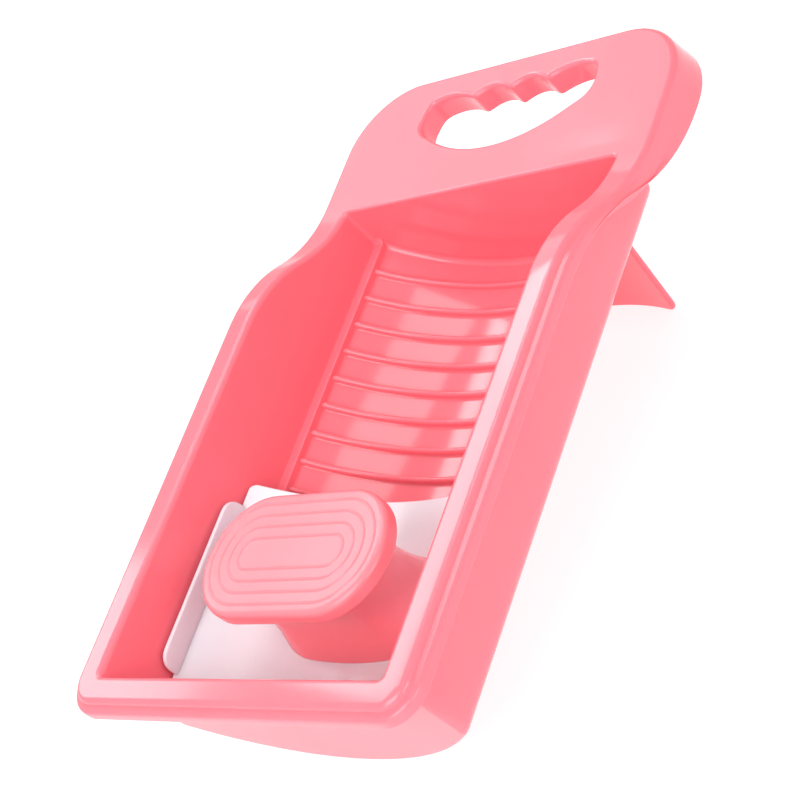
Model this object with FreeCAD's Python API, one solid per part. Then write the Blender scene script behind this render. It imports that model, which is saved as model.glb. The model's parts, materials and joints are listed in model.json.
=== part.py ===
import FreeCAD, Part
import math
import os

# A hand washboard: a tray with a ribbed, curved floor and a carrying handle, a stand
# that folds out behind its upper end, and a rubbing tool that slides along the tray.
#
# Everything is drawn in the board's own frame, in millimetres: X across the board,
# Y from its front lip towards the handle, Z out of the open side, with z = 0 on the
# rim. The finished pieces are then leaned back by LEAN, as the open stand holds them.

V = FreeCAD.Vector
X_AXIS = V(1, 0, 0)
Y_AXIS = V(0, 1, 0)
Z_AXIS = V(0, 0, 1)

# ---- driving dimensions -------------------------------------------------------------

LEAN = 9.4                  # slope of the board on its open stand, degrees

# outline of the rim and the handle
HALF_WIDTH = 88.6
LENGTH = 303.8
FRONT_CORNER = 14.0
HANDLE_CORNER = 33.4

# side view: the rim dips to the handle in two equal arcs
DIP_START = 168.0
DIP_END = 243.0
HANDLE_DROP = 22.5

# rim section
STEP_IN = 3.0               # the top stands this far inside the lip
STEP_DOWN = 2.6
HANDLE_STEP_DOWN = 3.2
LIP_DEPTH = 8.0
HANDLE_SKIRT = 16.4
STEP_DIP_END = 247.0
SKIRT_DIP_END = 268.0
DECK = 2.8                  # thickness of the top
SKIRT = 2.4                 # thickness of the lip and the skirt
EDGE_ROUND = 2.2
FLOOR_LIMIT = -140.0        # well below everything

# trough
WALL_SLOPE = 0.062
INNER_HALF = 73.5
OUTER_HALF = 77.8
LEDGE_Z = -42.0
LEDGE_HALF = 66.15          # inner edge of the side ledges
ARC_CENTRE_Z = 41.4         # the floor is part of a cylinder along Y
RIB_TOP_R = 107.0
FLOOR_R = 109.6
BACK_R = 112.8
FRONT_OUT = 13.6
FRONT_IN = 15.8
FRONT_SLOPE = 0.036
FRONT_LIP_IN = 14.0
END_IN = 237.2
END_OUT = 240.2
END_SLOPE = 0.073
BOTTOM_ROUND = 3.0
INNER_EDGE_ROUND = 1.5

# washing ribs
RIB_PITCH = 13.0
RIB_FIRST_Y = 221.6
RIB_COUNT = 16
RIB_HALF_THICK = 1.3
RIB_SWEEP = 38.6            # degrees each way from the middle of the floor

# grip hole in the handle
GRIP_HALF = 46.0
GRIP_LOW_Y = 258.0
GRIP_END_Y = 275.0
GRIP_TOP_Y = 289.0
FINGER_PITCH = 19.5
CUSP_Y = 286.2
COLLAR = 2.4
COLLAR_DEPTH = 11.0
HANDLE_RIB_X = (-58.0, -20.0, 20.0, 58.0)
HANDLE_RIB_THICK = 2.0

# stand
HINGE_Y = 234.0
HINGE_Z = -66.5
FLAP_HALF = 46.0
FLAP_THICK = 2.4
FLAP_CORNER = 4.0
FLAP_GAP = 0.4              # between the open flap's root and the tray
KNUCKLE_R = 2.6
KNUCKLE_LENGTH = 4.0
EAR_GAP = 0.6
EAR_THICK = 3.4
EAR_R = 2.8
EAR_FOOT = 6.0
PIN_R = 1.2
PIN_CLEARANCE = 0.05

# rubbing tool
TOOL_Y = 64.7
SOLE_TOP_Z = -49.5
SOLE_R = 125.0
SOLE_THICK = 2.2
SOLE_HALF_LENGTH = 46.6
SOLE_CORNER = 3.0
RUNNER_OUT = 70.0
RUNNER_THICK = 2.0
RUNNER_HALF_LENGTH = 36.0
RUNNER_TOP_Z = -20.0
RUNNER_LIFT = 0.3           # running gap over the ledge
RUNNER_ROUND = 6.0
BLADE_COUNT = 6
BLADE_HALF_THICK = 1.2
BLADE_R = 102.5
SCREW_X = 22.0
SCREW_R = 1.5
SCREW_HEAD_R = 3.5
SCREW_HEAD = 2.2
SCREW_LENGTH = 16.0
SCREW_PAD_R = 5.0
SCREW_PAD_Z = -54.5
BOSS_R = 4.2
GRIP_TOP_Z = -4.2
CAP_THICK = 8.3
CAP_HALF_LENGTH = 45.6
CAP_HALF_WIDTH = 25.1
CAP_ROUND = 2.2
BEAD_PITCH = 4.7
BEAD_COUNT = 4
BEAD_WIDTH = 1.4
BEAD_HEIGHT = 0.5
SPIGOT_DEPTH = 4.0
POST_WALL = 2.6
POST_SECTIONS = (           # half length, half width, height
    (43.0, 22.5, -56.0), (41.0, 20.3, -48.0), (37.0, 16.4, -36.0),
    (35.6, 15.5, -26.0), (38.6, 18.2, GRIP_TOP_Z - CAP_THICK))


# ---- drawing helpers ----------------------------------------------------------------

def line(a, b):
    return Part.LineSegment(a, b).toShape()


def arc(a, middle, b):
    return Part.Arc(a, middle, b).toShape()


def polygon(points):
    return Part.makePolygon(list(points) + [points[0]])


def prism(wire, direction):
    return Part.Face(wire).extrude(direction)


def rounded_rectangle(half, y_low, y_high, r_low, r_high, z):
    """Closed outline in a plan plane, symmetric about x = 0."""
    bend = math.sqrt(0.5)
    corners = []
    for x_sign, y, r, y_sign in ((1, y_low, r_low, -1), (1, y_high, r_high, 1),
                                 (-1, y_high, r_high, 1), (-1, y_low, r_low, -1)):
        centre = V(x_sign * (half - r), y - y_sign * r, z)
        side = centre + V(x_sign * r, 0, 0)
        end = centre + V(0, y_sign * r, 0)
        middle = centre + V(x_sign * r * bend, y_sign * r * bend, 0)
        going_up = x_sign * y_sign < 0
        corners.append((end, middle, side) if going_up else (side, middle, end))
    edges = []
    for here, after in zip(corners, corners[1:] + corners[:1]):
        edges.append(arc(*here))
        edges.append(line(here[2], after[0]))
    return Part.Wire(edges)


def stadium(half_length, half_width, y_centre, z):
    """Oval with straight sides, long across X."""
    straight = half_length - half_width
    r = half_width
    right_low = V(straight, y_centre - r, z)
    right_high = V(straight, y_centre + r, z)
    left_high = V(-straight, y_centre + r, z)
    left_low = V(-straight, y_centre - r, z)
    return Part.Wire([
        arc(right_low, V(straight + r, y_centre, z), right_high),
        line(right_high, left_high),
        arc(left_high, V(-straight - r, y_centre, z), left_low),
        line(left_low, right_low)])


def below_dip(z_rim, z_handle, y_end):
    """Everything below a surface that dips from the rim to the handle."""
    run = y_end - DIP_START
    drop = z_rim - z_handle
    r = (run * run + drop * drop) / (4 * drop)
    half_turn = math.atan(drop / run)
    along = r * math.sin(half_turn)
    down = r * (1 - math.cos(half_turn))
    start = V(0, DIP_START, z_rim)
    middle = V(0, DIP_START + run / 2, z_rim - drop / 2)
    end = V(0, y_end, z_handle)
    front = V(0, -20, z_rim)
    back = V(0, LENGTH + 20, z_handle)
    front_low = V(0, -20, FLOOR_LIMIT)
    back_low = V(0, LENGTH + 20, FLOOR_LIMIT)
    wire = Part.Wire([
        line(front, start),
        arc(start, V(0, DIP_START + along, z_rim - down), middle),
        arc(middle, V(0, y_end - along, z_handle + down), end),
        line(end, back), line(back, back_low),
        line(back_low, front_low), line(front_low, front)])
    solid = prism(wire, V(240, 0, 0))
    solid.translate(V(-120, 0, 0))
    return solid


def plan_block(inset):
    outline = rounded_rectangle(HALF_WIDTH - inset, inset, LENGTH - inset,
                                FRONT_CORNER - inset, HANDLE_CORNER - inset, FLOOR_LIMIT)
    return prism(outline, V(0, 0, 20 - FLOOR_LIMIT))


def along_cylinder(radius, centre_z, y_low, y_high):
    return Part.makeCylinder(radius, y_high - y_low, V(0, y_low, centre_z), Y_AXIS)


def arc_rib(y, half_thick, r_flat, r_top, sweep):
    """A rib along the curve of the floor: r_top is its rounded edge."""
    crown = half_thick if r_flat < r_top else -half_thick
    base = ARC_CENTRE_Z - r_flat
    shoulder = ARC_CENTRE_Z - r_top + crown
    wire = Part.Wire([
        line(V(0, y - half_thick, base), V(0, y + half_thick, base)),
        line(V(0, y + half_thick, base), V(0, y + half_thick, shoulder)),
        arc(V(0, y + half_thick, shoulder), V(0, y, shoulder - crown),
            V(0, y - half_thick, shoulder)),
        line(V(0, y - half_thick, shoulder), V(0, y - half_thick, base))])
    axis_point = V(0, 0, ARC_CENTRE_Z)
    face = Part.Face(wire)
    face.rotate(axis_point, Y_AXIS, -sweep)
    return face.revolve(axis_point, Y_AXIS, 2 * sweep)


def edges_where(shape, wanted):
    """Edges whose ends and middle all satisfy wanted(point)."""
    found = []
    for edge in shape.Edges:
        first, last = edge.FirstParameter, edge.LastParameter
        points = [edge.valueAt(first + (last - first) * k / 4.0) for k in range(5)]
        if all(wanted(p) for p in points):
            found.append(edge)
    return found


# ---- tray ---------------------------------------------------------------------------

def rim_shell():
    """Rim, lip and handle as one downturned shell, open below."""
    top = below_dip(0, -HANDLE_DROP, DIP_END)
    upper = plan_block(STEP_IN).common(top)
    top_edges = edges_where(upper, lambda p: p.z > -HANDLE_DROP - 0.01
                            and not (p.z < FLOOR_LIMIT + 1) and on_outline(p))
    upper = upper.makeFillet(EDGE_ROUND, top_edges)
    step = below_dip(-STEP_DOWN, -HANDLE_DROP - HANDLE_STEP_DOWN, STEP_DIP_END)
    band = plan_block(0).common(step)
    skirt_end = below_dip(-LIP_DEPTH, -HANDLE_DROP - HANDLE_SKIRT, SKIRT_DIP_END)
    block = upper.fuse(band).cut(skirt_end)
    under_top = below_dip(-DECK, -HANDLE_DROP - DECK, DIP_END)
    under_step = below_dip(-STEP_DOWN - SKIRT, -HANDLE_DROP - HANDLE_STEP_DOWN - SKIRT,
                           STEP_DIP_END)
    hollow = plan_block(STEP_IN + SKIRT).common(under_top)
    hollow = hollow.fuse(plan_block(SKIRT).common(under_step))
    return block.cut(hollow)


def on_outline(p):
    """True on the outer edge of the rim's top."""
    half = HALF_WIDTH - STEP_IN
    inside_x = abs(p.x) < half - 0.05
    straight = p.y > STEP_IN + 0.05 and p.y < LENGTH - STEP_IN - 0.05
    in_corner = False
    for y_centre, r in ((FRONT_CORNER, FRONT_CORNER - STEP_IN),
                        (LENGTH - HANDLE_CORNER, HANDLE_CORNER - STEP_IN)):
        dx = abs(p.x) - (half - r)
        dy = p.y - y_centre
        in_corner = in_corner or (dx > -0.05 and abs(math.hypot(dx, dy) - r) < 0.05)
    return in_corner or not (inside_x and straight)


def trough_section(half_at_rim, arc_r, ledge):
    """Cross-section of the trough, as a face in the plane y = 0."""
    z_top = 10.0
    top_half = half_at_rim + WALL_SLOPE * z_top

    def wall_x(z):
        return half_at_rim + WALL_SLOPE * z

    if ledge:
        x_foot = LEDGE_HALF
        z_foot = ARC_CENTRE_Z - math.sqrt(arc_r ** 2 - x_foot ** 2)
        side = [V(wall_x(LEDGE_Z), 0, LEDGE_Z), V(x_foot, 0, LEDGE_Z), V(x_foot, 0, z_foot)]
    else:
        x_foot = 75.2
        z_foot = ARC_CENTRE_Z - math.sqrt(arc_r ** 2 - x_foot ** 2)
        side = [V(x_foot, 0, z_foot)]
    right = [V(top_half, 0, z_top)] + side
    left = [V(-p.x, 0, p.z) for p in reversed(right)]
    edges = [line(a, b) for a, b in zip(right, right[1:])]
    edges.append(arc(right[-1], V(0, 0, ARC_CENTRE_Z - arc_r), left[0]))
    edges += [line(a, b) for a, b in zip(left, left[1:])]
    edges.append(line(left[-1], right[0]))
    return Part.Face(Part.Wire(edges))


def between_ends(points):
    """Slab across the whole width, bounded by a closed outline in the side view."""
    slab = prism(polygon([V(0, y, z) for y, z in points]), V(240, 0, 0))
    slab.translate(V(-120, 0, 0))
    return slab


def trough_block():
    section = trough_section(OUTER_HALF, BACK_R, False)
    bar = section.extrude(V(0, LENGTH, 0))
    low = -90.0
    ends = between_ends([(FRONT_OUT, 0), (FRONT_OUT - FRONT_SLOPE * low, low),
                         (END_OUT + END_SLOPE * (low + HANDLE_DROP), low),
                         (END_OUT + END_SLOPE * HANDLE_DROP, 0)])
    block = bar.common(ends)

    posts = [e for e in block.Edges if abs(e.Vertexes[0].Z - e.Vertexes[-1].Z) > 10]
    block = block.makeFillet(BOTTOM_ROUND, posts)
    keel = edges_where(block, lambda p: p.z < LEDGE_Z + 1.0)
    block = block.makeFillet(BOTTOM_ROUND, keel)
    return block.common(below_dip(-0.8, -HANDLE_DROP - 0.8, DIP_END))


def trough_cavity():
    section = trough_section(INNER_HALF, FLOOR_R, True)
    bar = section.extrude(V(0, LENGTH, 0))
    low = -90.0
    bend = -15.0
    ends = between_ends([
        (FRONT_LIP_IN, 12), (FRONT_LIP_IN, -2), (FRONT_IN - FRONT_SLOPE * bend, bend),
        (FRONT_IN - FRONT_SLOPE * low, low),
        (END_IN + END_SLOPE * (low + HANDLE_DROP), low), (END_IN + END_SLOPE * HANDLE_DROP, 12)])
    return bar.common(ends)


def grip_outline(grow, z):
    """Grip hole: a bowed lower edge and four finger scallops, grown by an offset."""
    half = GRIP_HALF + grow
    low_left = V(-half + 8, GRIP_END_Y - 4 - grow * 0.5, z)
    low_right = V(half - 8, GRIP_END_Y - 4 - grow * 0.5, z)
    side_left = V(-half, GRIP_END_Y + 4, z)
    side_right = V(half, GRIP_END_Y + 4, z)
    top_left = V(-half + 5, GRIP_TOP_Y - 5 + grow, z)
    top_right = V(half - 5, GRIP_TOP_Y - 5 + grow, z)
    edges = [arc(low_left, V(0, GRIP_LOW_Y - grow, z), low_right),
             arc(low_right, V(half - 2.2, GRIP_END_Y - 1, z), side_right),
             arc(side_right, V(half - 1.0, GRIP_TOP_Y - 7 + grow * 0.7, z), top_right)]
    last = top_right
    for k in (1, 0, -1, -2):
        x_next = k * FINGER_PITCH
        following = V(x_next, CUSP_Y + grow, z) if k > -2 else top_left
        x_mid = (last.x + following.x) / 2
        edges.append(arc(last, V(x_mid, GRIP_TOP_Y + grow, z), following))
        last = following
    edges.append(arc(top_left, V(-half + 1.0, GRIP_TOP_Y - 7 + grow * 0.7, z), side_left))
    edges.append(arc(side_left, V(-half + 2.2, GRIP_END_Y - 1, z), low_left))
    return Part.Wire(edges)


def grip_collar():
    """Turned-down wall around the grip hole."""
    top = -HANDLE_DROP - 0.5
    return prism(grip_outline(COLLAR, top), V(0, 0, -COLLAR_DEPTH))


def grip_opening():
    return prism(grip_outline(0, -HANDLE_DROP + 5), V(0, 0, -40))


def handle_ribs():
    """Stiffeners in the hollow handle, from the trough's end wall to its skirt."""
    inside = plan_block(STEP_IN).common(below_dip(-1, -HANDLE_DROP - 1, DIP_END))
    ribs = []
    for x in HANDLE_RIB_X:
        ribs.append(Part.makeBox(HANDLE_RIB_THICK, LENGTH - END_OUT, 9.0,
                                 V(x - HANDLE_RIB_THICK / 2, END_OUT - 2, -HANDLE_DROP - 9.0)))
    return [rib.common(inside) for rib in ribs]


def ear_start():
    """Inner face of the right ear, which stands just inboard of the flap's knuckle."""
    return FLAP_HALF - KNUCKLE_LENGTH - EAR_GAP - EAR_THICK


def hinge_ear(side):
    """One ear of the stand's hinge, standing off the tray's back beside a knuckle."""
    x_low = ear_start()
    wire = polygon([V(x_low, HINGE_Y - EAR_FOOT, -52), V(x_low, HINGE_Y + EAR_R, -52),
                    V(x_low, HINGE_Y + EAR_R, HINGE_Z), V(x_low, HINGE_Y - EAR_R, HINGE_Z)])
    ear = prism(wire, V(EAR_THICK, 0, 0))
    ear = ear.fuse(Part.makeCylinder(EAR_R, EAR_THICK, V(x_low, HINGE_Y, HINGE_Z), X_AXIS))
    ear = ear.cut(Part.makeCylinder(PIN_R, EAR_THICK, V(x_low, HINGE_Y, HINGE_Z), X_AXIS))
    return ear if side > 0 else ear.mirror(V(0, 0, 0), X_AXIS)


def inner_rim_edge(p):
    """True on the trough's upper inner edge, all round the opening."""
    if p.z < -HANDLE_DROP - 0.2 or p.z > 0.1 or abs(p.x) > INNER_HALF + 0.1:
        return False
    on_side = abs(abs(p.x) - (INNER_HALF + WALL_SLOPE * p.z)) < 0.05
    on_front = abs(p.y - FRONT_LIP_IN) < 0.05 and p.z > -1
    on_end = abs(p.y - END_IN) < 1.0 and abs(p.z + HANDLE_DROP) < 0.5
    return on_side or on_front or on_end


def make_tray():
    """Rim, trough, handle, hinge ears and washing ribs, moulded in one."""
    body = rim_shell().multiFuse([trough_block(), grip_collar(), hinge_ear(1), hinge_ear(-1)]
                                 + handle_ribs())
    body = body.cut(trough_cavity()).cut(grip_opening())
    rim_edges = [e for e in edges_where(body, inner_rim_edge) if e.Length > 20]
    body = body.makeFillet(INNER_EDGE_ROUND, rim_edges)
    ribs = [arc_rib(RIB_FIRST_Y - k * RIB_PITCH, RIB_HALF_THICK, FLOOR_R + 0.6, RIB_TOP_R, RIB_SWEEP)
            for k in range(RIB_COUNT)]
    return body.multiFuse(ribs).removeSplitter()


# ---- stand --------------------------------------------------------------------------

def hinge_height():
    """Height of the stand's hinge above the ground, with the board leaning."""
    lean = math.radians(LEAN)
    keel_z = ARC_CENTRE_Z - BACK_R + BOTTOM_ROUND
    keel_y = FRONT_OUT - FRONT_SLOPE * keel_z + BOTTOM_ROUND * math.hypot(1, FRONT_SLOPE)
    return ((HINGE_Y - keel_y) * math.sin(lean) + (HINGE_Z - keel_z) * math.cos(lean)
            + BOTTOM_ROUND)


def make_stand_flap():
    """Flap, drawn folded against the back, then turned out to its stop."""
    flap_r = math.hypot(FLAP_HALF, ARC_CENTRE_Z - HINGE_Z)
    length = hinge_height()
    y_low, y_high = HINGE_Y - length, HINGE_Y + KNUCKLE_R
    shell = along_cylinder(flap_r + FLAP_THICK / 2, ARC_CENTRE_Z, y_low, y_high)
    shell = shell.cut(along_cylinder(flap_r - FLAP_THICK / 2, ARC_CENTRE_Z, y_low - 1, y_high + 1))
    outline = rounded_rectangle(FLAP_HALF, y_low, y_high, FLAP_CORNER, 1.0, HINGE_Z - 30)
    flap = shell.common(prism(outline, V(0, 0, 60)))
    knuckles = []
    bores = []
    for x_low in (-FLAP_HALF, FLAP_HALF - KNUCKLE_LENGTH):
        start = V(x_low, HINGE_Y, HINGE_Z)
        knuckles.append(Part.makeCylinder(KNUCKLE_R, KNUCKLE_LENGTH, start, X_AXIS))
        bores.append(Part.makeCylinder(PIN_R + PIN_CLEARANCE, KNUCKLE_LENGTH, start, X_AXIS))
    for side in (-1, 1):
        x_low = ear_start() - EAR_GAP if side > 0 else -FLAP_HALF + KNUCKLE_LENGTH
        notch = Part.makeBox(EAR_THICK + 2 * EAR_GAP, 20, 40,
                             V(x_low, HINGE_Y - EAR_R - 1.0, HINGE_Z - 30))
        flap = flap.cut(notch)
    flap = flap.multiFuse(knuckles)
    for bore in bores:
        flap = flap.cut(bore)
    flap.rotate(V(0, HINGE_Y, HINGE_Z), X_AXIS, 90 - LEAN)
    return flap.cut(along_cylinder(BACK_R + FLAP_GAP, ARC_CENTRE_Z, 100, 300))


def make_stand_pin(side):
    """Plain steel pin: tight in the tray's ear, free in the flap's knuckle."""
    start = ear_start() + 0.3
    end = FLAP_HALF - 0.3
    pin = Part.makeCylinder(PIN_R, end - start, V(start, HINGE_Y, HINGE_Z), X_AXIS)
    pin = pin.makeChamfer(0.2, edges_where(pin, lambda p: p.x < start + 0.01 or p.x > end - 0.01))
    return pin if side > 0 else pin.mirror(V(0, 0, 0), X_AXIS)


# ---- rubbing tool -------------------------------------------------------------------

def sole_centre_z():
    return SOLE_TOP_Z + SOLE_R


def make_sole_plate():
    """Clear curved sole with side runners and rubbing blades under it."""
    y_low, y_high = TOOL_Y - SOLE_HALF_LENGTH, TOOL_Y + SOLE_HALF_LENGTH
    web = along_cylinder(SOLE_R + SOLE_THICK, sole_centre_z(), y_low, y_high)
    web = web.cut(along_cylinder(SOLE_R, sole_centre_z(), y_low - 1, y_high + 1))
    outline = rounded_rectangle(RUNNER_OUT, y_low, y_high, SOLE_CORNER, SOLE_CORNER, -70)
    web = web.common(prism(outline, V(0, 0, 60)))
    inside_web = along_cylinder(SOLE_R + SOLE_THICK / 2, sole_centre_z(), y_low - 1, y_high + 1)
    pieces = [web]
    for k in range(BLADE_COUNT):
        y = TOOL_Y + (k - (BLADE_COUNT - 1) / 2.0) * RIB_PITCH
        blade = arc_rib(y, BLADE_HALF_THICK, BLADE_R - 30, BLADE_R, 36)
        pieces.append(blade.cut(inside_web))
    pad_height = SOLE_TOP_Z - SCREW_PAD_Z
    for x in (-SCREW_X, SCREW_X):
        pad = Part.makeCylinder(SCREW_PAD_R, pad_height + 2, V(x, TOOL_Y, SCREW_PAD_Z), Z_AXIS)
        pieces.append(pad.cut(inside_web))
    for side in (-1, 1):
        pieces.append(runner(side))
    sole = pieces[0].multiFuse(pieces[1:]).removeSplitter()
    for x in (-SCREW_X, SCREW_X):
        sole = sole.cut(Part.makeCylinder(SCREW_R + 0.1, 20, V(x, TOOL_Y, SCREW_PAD_Z - 5), Z_AXIS))
    return sole


def runner(side):
    """Upright strip along one edge of the sole; its foot runs on the tray's ledge."""
    z_low = LEDGE_Z + RUNNER_LIFT
    height = RUNNER_TOP_Z - z_low
    x_low = RUNNER_OUT - RUNNER_THICK if side > 0 else -RUNNER_OUT
    strip = Part.makeBox(RUNNER_THICK, 2 * RUNNER_HALF_LENGTH, height,
                         V(x_low, TOOL_Y - RUNNER_HALF_LENGTH, z_low))
    top_corners = edges_where(strip, lambda p: p.z > RUNNER_TOP_Z - 0.01
                              and abs(abs(p.y - TOOL_Y) - RUNNER_HALF_LENGTH) < 0.01)
    strip = strip.makeFillet(RUNNER_ROUND, top_corners)
    low_corners = edges_where(strip, lambda p: p.z < z_low + 0.01
                              and abs(abs(p.y - TOOL_Y) - RUNNER_HALF_LENGTH) < 0.01)
    return strip.makeFillet(1.5, low_corners)


def post_loft(inset):
    """Flared oval post between the sole and the cap, shrunk by inset all round."""
    sections = []
    for half_length, half_width, z in POST_SECTIONS:
        sections.append(stadium(half_length - inset, half_width - inset, TOOL_Y, z))
    return Part.makeLoft(sections, True, False)


def make_grip_body():
    """Hollow post that stands on the sole, with two screw bosses inside."""
    post = post_loft(0)
    web = Part.makeBox(80, 2, 24, V(-40, TOOL_Y - 1, -56)).common(post)
    inner = [web]
    for x in (-SCREW_X, SCREW_X):
        inner.append(Part.makeCylinder(BOSS_R, 24, V(x, TOOL_Y, -56), Z_AXIS))
    post = post.cut(post_loft(POST_WALL)).multiFuse(inner)
    for x in (-SCREW_X, SCREW_X):
        post = post.cut(Part.makeCylinder(SCREW_R, 22, V(x, TOOL_Y, -56), Z_AXIS))
    above_sole = along_cylinder(SOLE_R, sole_centre_z(), TOOL_Y - 60, TOOL_Y + 60)
    return post.common(above_sole)


def make_grip_cap():
    """Oval knob top with raised oval beads and a spigot into the post."""
    low = GRIP_TOP_Z - CAP_THICK
    face_z = GRIP_TOP_Z - BEAD_HEIGHT
    cap = prism(stadium(CAP_HALF_LENGTH, CAP_HALF_WIDTH, TOOL_Y, low), V(0, 0, face_z - low))
    cap = cap.makeFillet(CAP_ROUND, edges_where(cap, lambda p: p.z > face_z - 0.01
                                                or p.z < low + 0.01))
    spine = CAP_HALF_LENGTH - CAP_HALF_WIDTH
    pieces = []
    for k in range(1, BEAD_COUNT + 1):
        outer = CAP_HALF_WIDTH - BEAD_PITCH * k + BEAD_WIDTH / 2
        inner = outer - BEAD_WIDTH
        ring = prism(stadium(spine + outer, outer, TOOL_Y, face_z - 0.5), V(0, 0, 0.5 + BEAD_HEIGHT))
        ring = ring.cut(prism(stadium(spine + inner, inner, TOOL_Y, face_z - 1), V(0, 0, 3)))
        crest = edges_where(ring, lambda p: p.z > GRIP_TOP_Z - 0.01)
        pieces.append(ring.makeFillet(0.4, crest))
    half_length, half_width = 34.2, 13.2
    spigot = prism(stadium(half_length, half_width, TOOL_Y, low - SPIGOT_DEPTH), V(0, 0, SPIGOT_DEPTH + 1))
    hollow = prism(stadium(half_length - 2, half_width - 2, TOOL_Y, low - SPIGOT_DEPTH),
                   V(0, 0, SPIGOT_DEPTH))
    pieces.append(spigot.cut(hollow))
    return cap.multiFuse(pieces).removeSplitter()


def make_sole_screws():
    """Two self-tapping screws, driven up through the sole into the post."""
    screws = []
    for x in (-SCREW_X, SCREW_X):
        shank = Part.makeCylinder(SCREW_R, SCREW_LENGTH, V(x, TOOL_Y, SCREW_PAD_Z), Z_AXIS)
        low = SCREW_PAD_Z - SCREW_HEAD
        head = Part.makeCylinder(SCREW_HEAD_R, SCREW_HEAD, V(x, TOOL_Y, low), Z_AXIS)
        head = head.makeFillet(1.2, edges_where(head, lambda p: p.z < low + 0.01))
        for turn in (0, 90):
            slot = Part.makeBox(3.6, 0.8, 1.2, V(x - 1.8, TOOL_Y - 0.4, low))
            slot.rotate(V(x, TOOL_Y, 0), Z_AXIS, turn)
            head = head.cut(slot)
        screws.append(shank.fuse(head))
    return Part.makeCompound(screws)


# ---- assembly -----------------------------------------------------------------------

def main():
    parts = {
        "tray": make_tray(),
        "stand_flap": make_stand_flap(),
        "stand_pin_left": make_stand_pin(-1),
        "stand_pin_right": make_stand_pin(1),
        "sole_plate": make_sole_plate(),
        "grip_body": make_grip_body(),
        "grip_cap": make_grip_cap(),
        "sole_screws": make_sole_screws(),
    }
    for shape in parts.values():
        shape.rotate(V(0, 0, 0), X_AXIS, LEAN)
    box = parts["tray"].optimalBoundingBox(False)
    box.add(parts["stand_flap"].optimalBoundingBox(False))
    shift = V(0, -(box.YMin + box.YMax) / 2, -box.ZMin)
    os.makedirs("parts", exist_ok=True)
    for name, shape in parts.items():
        shape.translate(shift)
        box = shape.optimalBoundingBox(False)
        print("%-16s solids %d valid %s volume %.0f  x %.2f %.2f  y %.2f %.2f  z %.2f %.2f" % (
            name, len(shape.Solids), shape.isValid(), shape.Volume,
            box.XMin, box.XMax, box.YMin, box.YMax, box.ZMin, box.ZMax))
        shape.exportStep("parts/%s.step" % name)
    print("shift", shift)


main()
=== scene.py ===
import json
import math

import bpy
import bmesh
import numpy as np
from mathutils import Matrix, Vector
from mathutils.geometry import delaunay_2d_cdt


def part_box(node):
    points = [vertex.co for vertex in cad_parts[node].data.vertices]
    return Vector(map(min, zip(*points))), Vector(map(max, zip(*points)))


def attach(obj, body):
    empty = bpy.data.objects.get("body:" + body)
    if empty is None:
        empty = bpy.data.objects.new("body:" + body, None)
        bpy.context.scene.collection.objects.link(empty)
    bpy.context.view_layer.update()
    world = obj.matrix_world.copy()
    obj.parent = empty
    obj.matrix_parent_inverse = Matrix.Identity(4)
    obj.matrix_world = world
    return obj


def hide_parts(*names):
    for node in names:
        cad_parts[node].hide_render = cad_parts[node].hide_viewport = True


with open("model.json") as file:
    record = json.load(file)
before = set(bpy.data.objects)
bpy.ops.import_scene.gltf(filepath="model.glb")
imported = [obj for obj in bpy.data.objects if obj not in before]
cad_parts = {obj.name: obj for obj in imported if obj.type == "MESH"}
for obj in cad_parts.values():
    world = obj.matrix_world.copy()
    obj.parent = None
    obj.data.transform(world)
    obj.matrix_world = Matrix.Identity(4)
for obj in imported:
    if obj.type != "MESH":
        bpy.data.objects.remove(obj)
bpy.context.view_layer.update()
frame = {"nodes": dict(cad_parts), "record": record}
record = frame["record"]
joints = {joint["name"]: joint for joint in record["behaviour"]["joints"]}

# ---- the board's own frame ----------------------------------------------------------
# Pieces are drawn in millimetres as the board lies flat: x across, y from the front lip
# to the handle, z up from the rim. BOARD leans them back onto the stand, in metres.

HINGE_Y, HINGE_Z = 234.0, -66.5
LEAN_COS, LEAN_SIN = joints["scrubber_slide"]["axis"][1:]
LEAN = math.atan2(LEAN_SIN, LEAN_COS)
hinge = Vector(joints["stand_hinge"]["pos_m"])
BOARD = (Matrix.Translation(hinge) @ Matrix.Rotation(LEAN, 4, "X")
         @ Matrix.Scale(0.001, 4) @ Matrix.Translation((0, -HINGE_Y, -HINGE_Z)))

# rim and handle
HALF, LENGTH = 88.6, 303.8
FRONT_R, HANDLE_R = 14.0, 33.4
DIP_START, DIP_END, DROP = 168.0, 243.0, 22.5
CREASE_END, SKIRT_END = 247.0, 268.0
STEP_DOWN, HANDLE_STEP_DOWN = 2.6, 3.2
LIP_DEPTH, HANDLE_SKIRT = 8.0, 16.4
DECK, SKIRT_THICK, LIP_ROUND = 2.8, 2.4, 0.7

# the trough's opening, floor and outside
OPEN_HALF, OPEN_FRONT, OPEN_END, OPEN_R = 73.4, 13.8, 237.2, 1.8
SIDE_ROLL, END_ROLL, FRONT_ROLL = 2.6, 1.1, 2.0
SIDE_DRAFT, FRONT_DRAFT, END_DRAFT = 0.062, 0.036, 0.073
FRONT_STEP_IN = 1.8
LEDGE_Z, LEDGE_IN = -42.0, 66.15
ARC_Z, RIB_R, FLOOR_R, BACK_R = 41.4, 107.0, 109.6, 112.8
OUT_HALF, OUT_FRONT, OUT_END, OUT_R = 77.8, 13.6, 240.2, 3.9

# washing ribs, stiffeners under the handle, ears of the stand's hinge
RIB_FIRST_Y, RIB_PITCH, RIB_COUNT = 221.6, 13.0, 16
RIB_HALF, RIB_SWEEP = 1.25, math.radians(38.35)
STIFFENER_X, STIFFENER_HALF = (-58.0, -20.0, 20.0, 58.0), 1.0
EAR_IN, EAR_OUT, EAR_R = 38.0, 41.4, 2.8

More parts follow.
